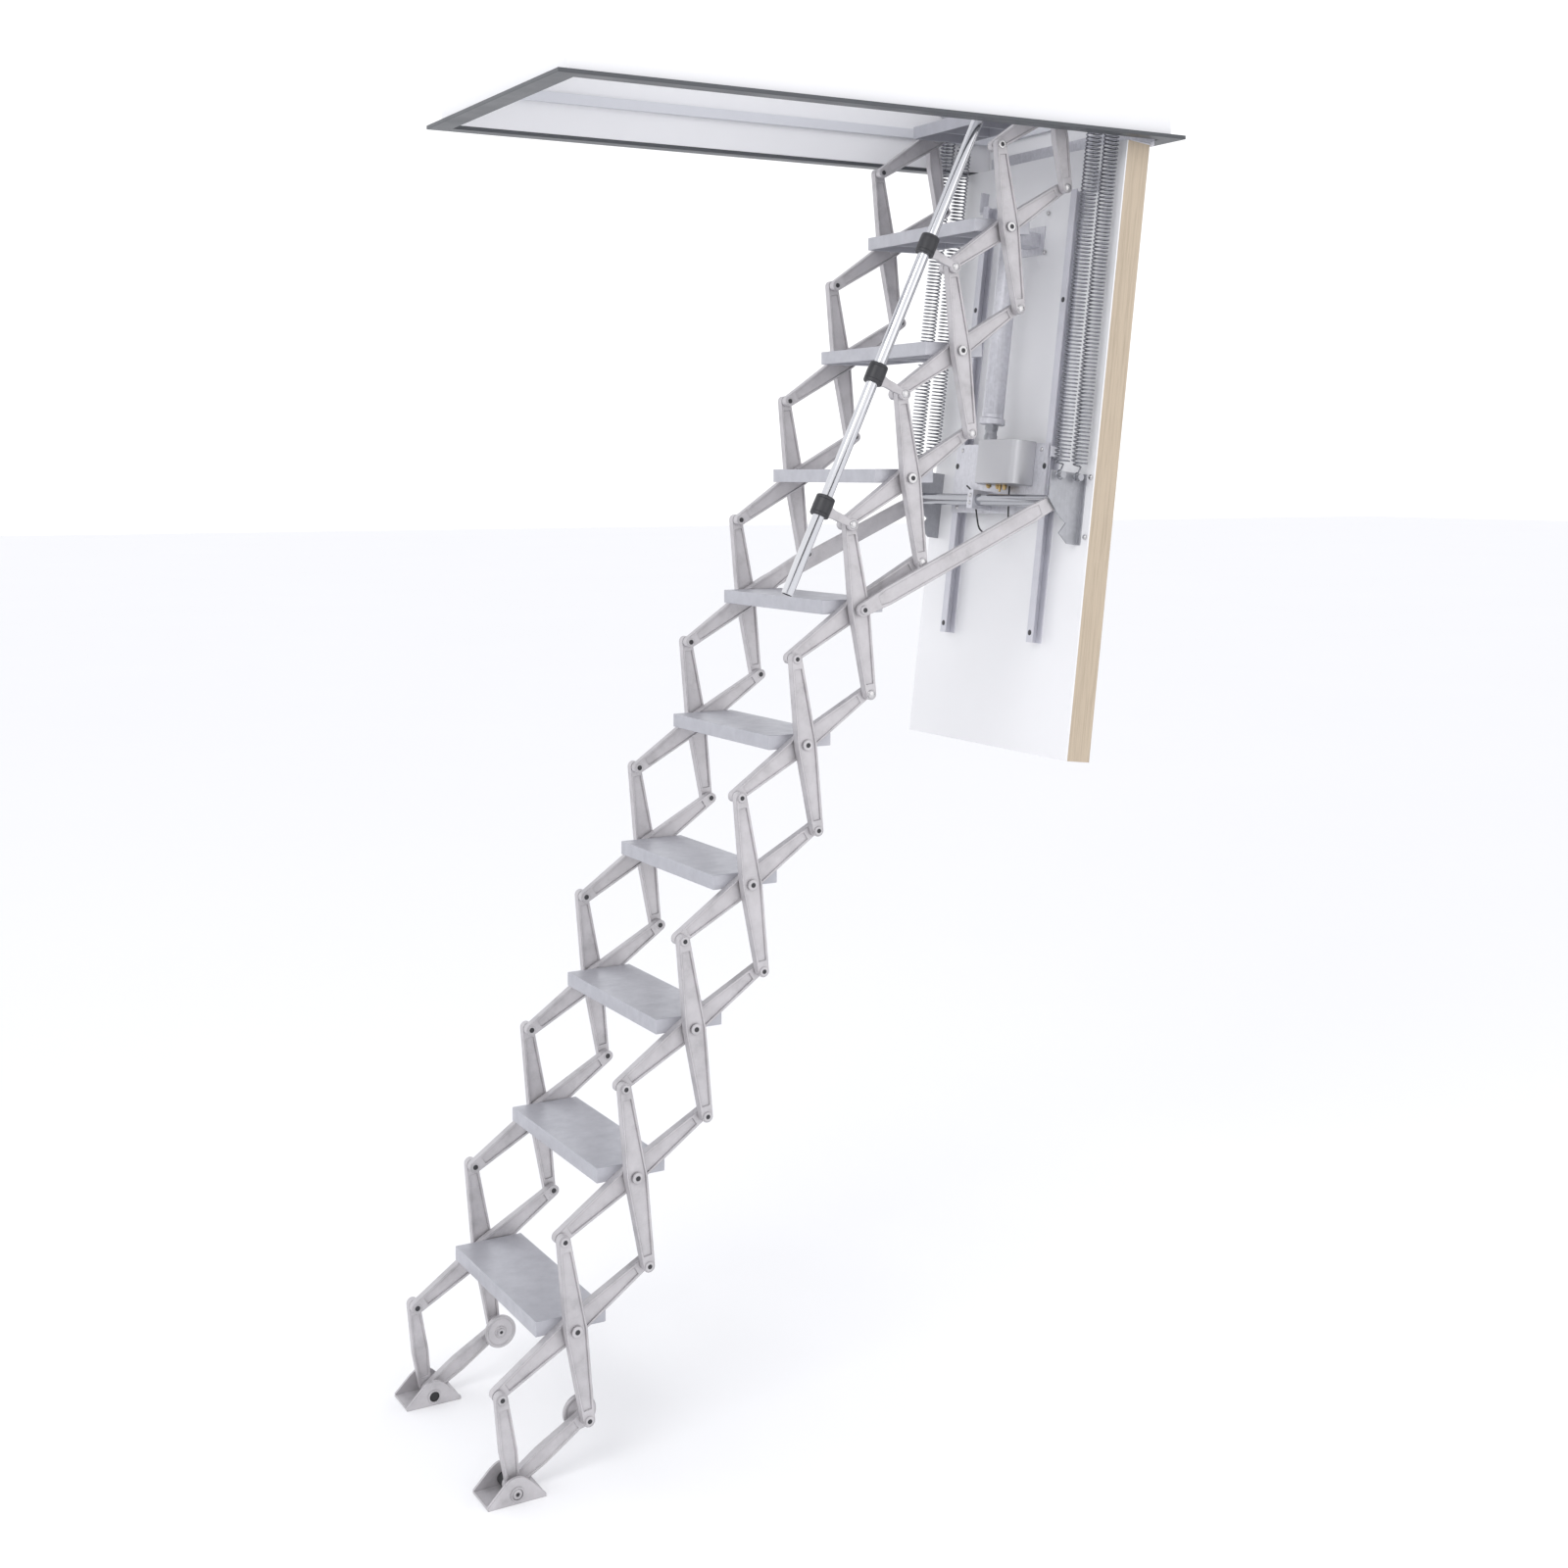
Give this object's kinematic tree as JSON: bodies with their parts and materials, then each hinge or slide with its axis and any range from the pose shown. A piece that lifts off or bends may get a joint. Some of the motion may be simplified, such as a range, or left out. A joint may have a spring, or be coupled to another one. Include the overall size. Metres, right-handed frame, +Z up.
{
  "type": "attic ladder",
  "caption": "Motor-driven concertina attic ladder on a hatch box, with aluminium scissor arms, treads, wooden hatch panel, lifting springs and a short handrail.",
  "frame": {"origin": "centre of the ceiling opening, level with the ceiling's lower face", "axes": "+Z up, +X towards the hinged end of the hatch, +Y towards the left of a person climbing"},
  "size_m": [1.4654, 0.694, 2.783],
  "materials": {
    "white_panel": "smooth white foil on board",
    "trim_paint": "satin anthracite powder coat",
    "ledge_paint": "light grey satin",
    "edge_wood": "light oak edging, matt",
    "galvanised": "bright zinc-plated sheet",
    "rail_steel": "pale lacquered channel",
    "plate_steel": "dull grey zinc",
    "chrome": "polished",
    "cast_aluminium": "matt sand-cast with machined bosses",
    "tread_aluminium": "cast, top face brushed in swirls",
    "spring_steel": "oiled spring wire",
    "black_plastic": "moulded black",
    "black_rubber": "matt",
    "lead_rubber": "matt black jacket"
  },
  "bodies": {
    "hatch_box": {"box_long_boards": "white_panel", "box_end_boards": "white_panel", "trim_frame": "trim_paint", "seal_ledge": "ledge_paint", "top_brackets": "galvanised", "hinge_fixed": "galvanised"},
    "hatch_panel": {"panel_board": "white_panel", "panel_edge_frame": "edge_wood", "panel_rails": "rail_steel", "catch_plates": "plate_steel", "spindle_tube": "plate_steel", "panel_brackets": "galvanised"},
    "carriage": {"carriage_plate": "galvanised", "cross_tube": "chrome", "motor_housing": "galvanised", "drive_rod": "plate_steel", "motor_lead": "lead_rubber"},
    "levers": {"lever_arms": "cast_aluminium"},
    "spring_row_front": {"springs_front": "spring_steel"},
    "spring_row_rear": {"springs_rear": "spring_steel"},
    "top_link_pair": {"top_links": "galvanised"},
    "inner_10": {"inner_arms_10": "cast_aluminium", "tread_10": "tread_aluminium"},
    "outer_10": {"outer_arms_10": "cast_aluminium"},
    "inner_09": {"inner_arms_09": "cast_aluminium", "tread_09": "tread_aluminium"},
    "outer_09": {"outer_arms_09": "cast_aluminium"},
    "inner_08": {"inner_arms_08": "cast_aluminium", "tread_08": "tread_aluminium"},
    "outer_08": {"outer_arms_08": "cast_aluminium"},
    "inner_07": {"inner_arms_07": "cast_aluminium", "tread_07": "tread_aluminium"},
    "outer_07": {"outer_arms_07": "cast_aluminium"},
    "inner_06": {"inner_arms_06": "cast_aluminium", "tread_06": "tread_aluminium"},
    "outer_06": {"outer_arms_06": "cast_aluminium"},
    "inner_05": {"inner_arms_05": "cast_aluminium", "tread_05": "tread_aluminium"},
    "outer_05": {"outer_arms_05": "cast_aluminium"},
    "inner_04": {"inner_arms_04": "cast_aluminium", "tread_04": "tread_aluminium"},
    "outer_04": {"outer_arms_04": "cast_aluminium"},
    "inner_03": {"inner_arms_03": "cast_aluminium", "tread_03": "tread_aluminium"},
    "outer_03": {"outer_arms_03": "cast_aluminium"},
    "inner_02": {"inner_arms_02": "cast_aluminium", "tread_02": "tread_aluminium"},
    "outer_02": {"outer_arms_02": "cast_aluminium"},
    "inner_01": {"inner_arms_01": "cast_aluminium", "tread_01": "tread_aluminium"},
    "outer_01": {"outer_arms_01": "cast_aluminium"},
    "inner_00": {"lower_inner_arms": "cast_aluminium"},
    "outer_00": {"lower_outer_arms": "cast_aluminium"},
    "feet": {"foot_shoes": "cast_aluminium", "foot_rollers": "black_rubber"},
    "wheel_pair": {"wheels": "cast_aluminium"},
    "rail_top": {"collar_top": "black_plastic", "handrail_tube": "chrome"},
    "rail_mid": {"collar_mid": "black_plastic"},
    "rail_low": {"collar_low": "black_plastic"}
  },
  "joints": [
    {"name": "hatch_hinge", "type": "hinge", "parent": "hatch_box", "child": "hatch_panel", "pos_m": [0.6365, 0, -0.015], "axis": [0, 1, 0], "range_deg": [0, 83]},
    {"name": "carriage_slide", "type": "slide", "parent": "hatch_panel", "child": "carriage", "axis": [-0.1219, 0, -0.9925], "range_m": [0, 0.06149]},
    {"name": "lever_swing", "type": "hinge", "parent": "carriage", "child": "levers", "pos_m": [0.4198, 0, -0.75007], "axis": [0, 1, 0], "range_deg": [0, 82.63]},
    {"name": "spring_front_swing", "type": "hinge", "parent": "hatch_box", "child": "spring_row_front", "pos_m": [0.51829, 0, 0.13], "axis": [0, 1, 0], "range_deg": [0, 82.04], "deforming": ["springs_front"]},
    {"name": "spring_rear_swing", "type": "hinge", "parent": "hatch_box", "child": "spring_row_rear", "pos_m": [0.55562, 0, 0.073], "axis": [0, 1, 0], "range_deg": [0, 83.3], "deforming": ["springs_rear"]},
    {"name": "top_link_swing", "type": "hinge", "parent": "hatch_box", "child": "top_link_pair", "pos_m": [0.49512, 0, 0.22621], "axis": [0, 1, 0], "range_deg": [-161.32, 0]},
    {"name": "top_pivot", "type": "hinge", "parent": "top_link_pair", "child": "inner_10", "pos_m": [0.57597, 0, 0.14066], "axis": [0, 1, 0], "range_deg": [0, 256.47]},
    {"name": "cross_10", "type": "hinge", "parent": "inner_10", "child": "outer_10", "pos_m": [0.43666, 0, 0.05225], "axis": [0, 1, 0], "range_deg": [-98.92, 0]},
    {"name": "joint_09", "type": "hinge", "parent": "outer_10", "child": "inner_09", "pos_m": [0.45962, 0, -0.11114], "axis": [0, 1, 0], "range_deg": [0, 98.92]},
    {"name": "cross_09", "type": "hinge", "parent": "inner_09", "child": "outer_09", "pos_m": [0.3203, 0, -0.19956], "axis": [0, 1, 0], "range_deg": [-98.92, 0]},
    {"name": "joint_08", "type": "hinge", "parent": "outer_09", "child": "inner_08", "pos_m": [0.34327, 0, -0.36295], "axis": [0, 1, 0], "range_deg": [0, 98.92]},
    {"name": "cross_08", "type": "hinge", "parent": "inner_08", "child": "outer_08", "pos_m": [0.20395, 0, -0.45136], "axis": [0, 1, 0], "range_deg": [-98.92, 0]},
    {"name": "joint_07", "type": "hinge", "parent": "outer_08", "child": "inner_07", "pos_m": [0.22692, 0, -0.61476], "axis": [0, 1, 0], "range_deg": [0, 98.92]},
    {"name": "cross_07", "type": "hinge", "parent": "inner_07", "child": "outer_07", "pos_m": [0.0876, 0, -0.70317], "axis": [0, 1, 0], "range_deg": [-98.92, 0]},
    {"name": "joint_06", "type": "hinge", "parent": "outer_07", "child": "inner_06", "pos_m": [0.11057, 0, -0.86656], "axis": [0, 1, 0], "range_deg": [0, 98.92]},
    {"name": "cross_06", "type": "hinge", "parent": "inner_06", "child": "outer_06", "pos_m": [-0.02875, 0, -0.95497], "axis": [0, 1, 0], "range_deg": [-98.92, 0]},
    {"name": "joint_05", "type": "hinge", "parent": "outer_06", "child": "inner_05", "pos_m": [-0.00578, 0, -1.11837], "axis": [0, 1, 0], "range_deg": [0, 98.92]},
    {"name": "cross_05", "type": "hinge", "parent": "inner_05", "child": "outer_05", "pos_m": [-0.1451, 0, -1.20678], "axis": [0, 1, 0], "range_deg": [-98.92, 0]},
    {"name": "joint_04", "type": "hinge", "parent": "outer_05", "child": "inner_04", "pos_m": [-0.12213, 0, -1.37017], "axis": [0, 1, 0], "range_deg": [0, 98.92]},
    {"name": "cross_04", "type": "hinge", "parent": "inner_04", "child": "outer_04", "pos_m": [-0.26145, 0, -1.45858], "axis": [0, 1, 0], "range_deg": [-98.92, 0]},
    {"name": "joint_03", "type": "hinge", "parent": "outer_04", "child": "inner_03", "pos_m": [-0.23849, 0, -1.62198], "axis": [0, 1, 0], "range_deg": [0, 98.92]},
    {"name": "cross_03", "type": "hinge", "parent": "inner_03", "child": "outer_03", "pos_m": [-0.3778, 0, -1.71039], "axis": [0, 1, 0], "range_deg": [-98.92, 0]},
    {"name": "joint_02", "type": "hinge", "parent": "outer_03", "child": "inner_02", "pos_m": [-0.35484, 0, -1.87378], "axis": [0, 1, 0], "range_deg": [0, 98.92]},
    {"name": "cross_02", "type": "hinge", "parent": "inner_02", "child": "outer_02", "pos_m": [-0.49415, 0, -1.96219], "axis": [0, 1, 0], "range_deg": [-98.92, 0]},
    {"name": "joint_01", "type": "hinge", "parent": "outer_02", "child": "inner_01", "pos_m": [-0.47119, 0, -2.12559], "axis": [0, 1, 0], "range_deg": [0, 98.92]},
    {"name": "cross_01", "type": "hinge", "parent": "inner_01", "child": "outer_01", "pos_m": [-0.6105, 0, -2.214], "axis": [0, 1, 0], "range_deg": [-98.92, 0]},
    {"name": "joint_00", "type": "hinge", "parent": "outer_01", "child": "inner_00", "pos_m": [-0.58754, 0, -2.37739], "axis": [0, 1, 0], "range_deg": [0, 98.92]},
    {"name": "cross_00", "type": "hinge", "parent": "inner_00", "child": "outer_00", "pos_m": [-0.72685, 0, -2.46581], "axis": [0, 1, 0], "range_deg": [-98.92, 0]},
    {"name": "foot_swing", "type": "hinge", "parent": "inner_00", "child": "feet", "pos_m": [-0.72685, 0, -2.46581], "axis": [0, 1, 0], "range_deg": [-25.02, 0]},
    {"name": "rail_top_pivot", "type": "hinge", "parent": "outer_08", "child": "rail_top", "pos_m": [0.18099, 0, -0.28797], "axis": [0, 1, 0], "range_deg": [0, 49.47]},
    {"name": "rail_mid_pivot", "type": "hinge", "parent": "outer_07", "child": "rail_mid", "pos_m": [0.06464, 0, -0.53977], "axis": [0, 1, 0], "range_deg": [0, 49.47]},
    {"name": "rail_low_pivot", "type": "hinge", "parent": "outer_06", "child": "rail_low", "pos_m": [-0.05171, 0, -0.79158], "axis": [0, 1, 0], "range_deg": [0, 49.47]},
    {"name": "wheel_spin", "type": "hinge", "parent": "outer_01", "child": "wheel_pair", "pos_m": [-0.58754, 0, -2.37739], "axis": [0, 1, 0], "continuous": true}
  ],
  "couplings": [
    {"joint": "carriage_slide", "follows": "hatch_hinge", "m_per_rad": 0.042413},
    {"joint": "lever_swing", "follows": "hatch_hinge", "ratio": 0.99533},
    {"joint": "spring_front_swing", "follows": "hatch_hinge", "ratio": 0.9882},
    {"joint": "spring_rear_swing", "follows": "hatch_hinge", "ratio": 1.0033},
    {"joint": "top_link_swing", "follows": "hatch_hinge", "ratio": -1.9434},
    {"joint": "top_pivot", "follows": "hatch_hinge", "ratio": 3.0898},
    {"joint": "cross_10", "follows": "hatch_hinge", "ratio": -1.1916},
    {"joint": "joint_09", "follows": "hatch_hinge", "ratio": 1.1916},
    {"joint": "cross_09", "follows": "hatch_hinge", "ratio": -1.1916},
    {"joint": "joint_08", "follows": "hatch_hinge", "ratio": 1.1916},
    {"joint": "cross_08", "follows": "hatch_hinge", "ratio": -1.1916},
    {"joint": "joint_07", "follows": "hatch_hinge", "ratio": 1.1916},
    {"joint": "cross_07", "follows": "hatch_hinge", "ratio": -1.1916},
    {"joint": "joint_06", "follows": "hatch_hinge", "ratio": 1.1916},
    {"joint": "cross_06", "follows": "hatch_hinge", "ratio": -1.1916},
    {"joint": "joint_05", "follows": "hatch_hinge", "ratio": 1.1916},
    {"joint": "cross_05", "follows": "hatch_hinge", "ratio": -1.1916},
    {"joint": "joint_04", "follows": "hatch_hinge", "ratio": 1.1916},
    {"joint": "cross_04", "follows": "hatch_hinge", "ratio": -1.1916},
    {"joint": "joint_03", "follows": "hatch_hinge", "ratio": 1.1916},
    {"joint": "cross_03", "follows": "hatch_hinge", "ratio": -1.1916},
    {"joint": "joint_02", "follows": "hatch_hinge", "ratio": 1.1916},
    {"joint": "cross_02", "follows": "hatch_hinge", "ratio": -1.1916},
    {"joint": "joint_01", "follows": "hatch_hinge", "ratio": 1.1916},
    {"joint": "cross_01", "follows": "hatch_hinge", "ratio": -1.1916},
    {"joint": "joint_00", "follows": "hatch_hinge", "ratio": 1.1916},
    {"joint": "cross_00", "follows": "hatch_hinge", "ratio": -1.1916},
    {"joint": "foot_swing", "follows": "hatch_hinge", "ratio": -0.30121},
    {"joint": "rail_top_pivot", "follows": "hatch_hinge", "ratio": 0.59578},
    {"joint": "rail_mid_pivot", "follows": "hatch_hinge", "ratio": 0.59578},
    {"joint": "rail_low_pivot", "follows": "hatch_hinge", "ratio": 0.59578}
  ]
}
